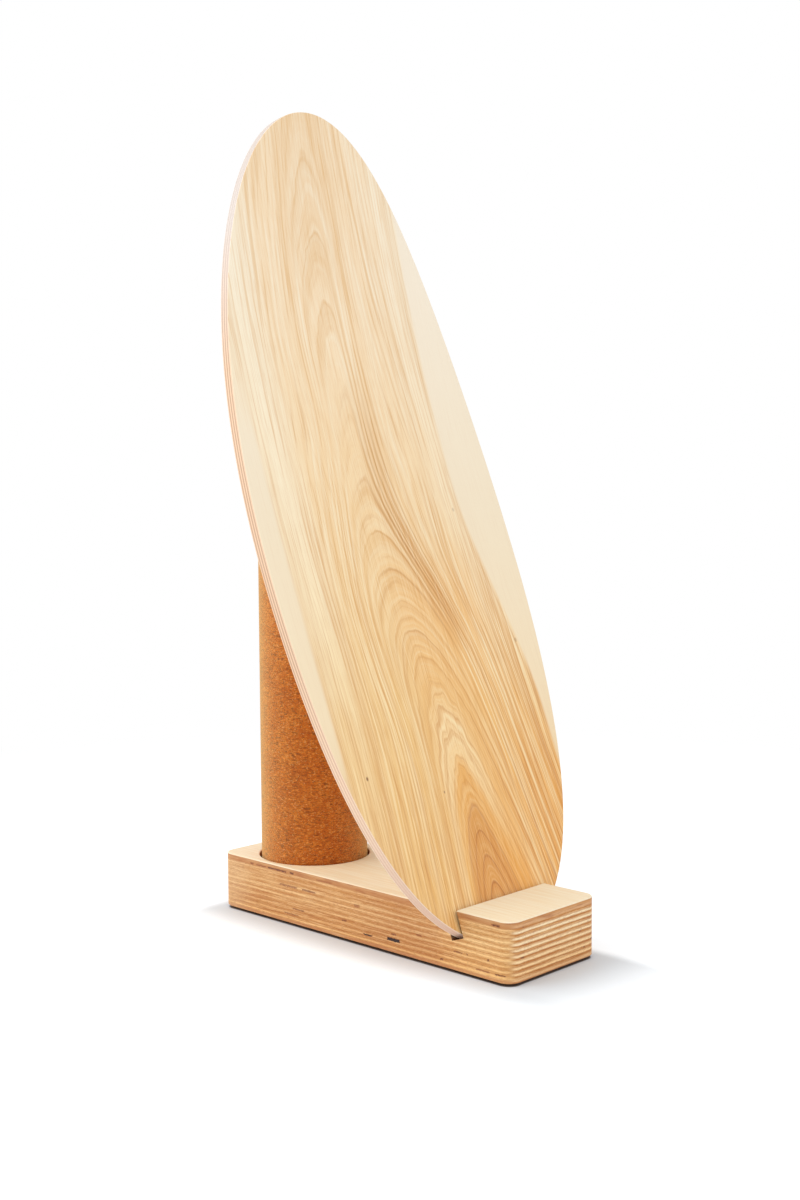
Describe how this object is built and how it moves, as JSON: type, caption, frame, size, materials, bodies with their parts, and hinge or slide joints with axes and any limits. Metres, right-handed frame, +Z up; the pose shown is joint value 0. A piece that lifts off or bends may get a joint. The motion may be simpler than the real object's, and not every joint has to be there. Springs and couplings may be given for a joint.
{
  "type": "balance roller board on a stand",
  "caption": "Long oval balance board with a raised nose, standing in the slanted slot of a plywood stand and leaning on an upright cork roller in its socket.",
  "frame": {"origin": "on the floor under the middle of the stand block", "axes": "+Z up, +Y along the stand from its slot end to its roller end, +X across the stand; the board's face looks towards -Y"},
  "size_m": [0.3132, 0.355, 0.7395],
  "materials": {
    "plywood": "bare sanded plywood, the plies showing on all sides",
    "face_veneer": "satin clear-coated ash veneer",
    "back_veneer": "satin clear-coated ash veneer",
    "long_veneer": "sanded veneer edge, grain along the board",
    "cross_veneer": "sanded veneer edge, grain across the board",
    "cork": "ground agglomerated cork",
    "pad_rubber": "matt black"
  },
  "bodies": {
    "stand": {"stand_block": "plywood", "pad_front_left": "pad_rubber", "pad_front_right": "pad_rubber", "pad_back_left": "pad_rubber", "pad_back_right": "pad_rubber"},
    "roller": {"cork_roller": "cork"},
    "board": {"board_face_veneer": "face_veneer", "board_core_ply_1": "cross_veneer", "board_core_ply_2": "long_veneer", "board_core_ply_3": "cross_veneer", "board_core_ply_4": "long_veneer", "board_core_ply_5": "cross_veneer", "board_back_veneer": "back_veneer"}
  },
  "joints": [
    {"name": "board_lift", "type": "slide", "parent": "stand", "child": "board", "axis": [0, 0.3057, 0.9521], "range_m": [0, 0.08]},
    {"name": "roller_spin", "type": "hinge", "parent": "stand", "child": "roller", "pos_m": [0, 0.111, 0.0213], "axis": [0, 0, 1], "continuous": true}
  ]
}
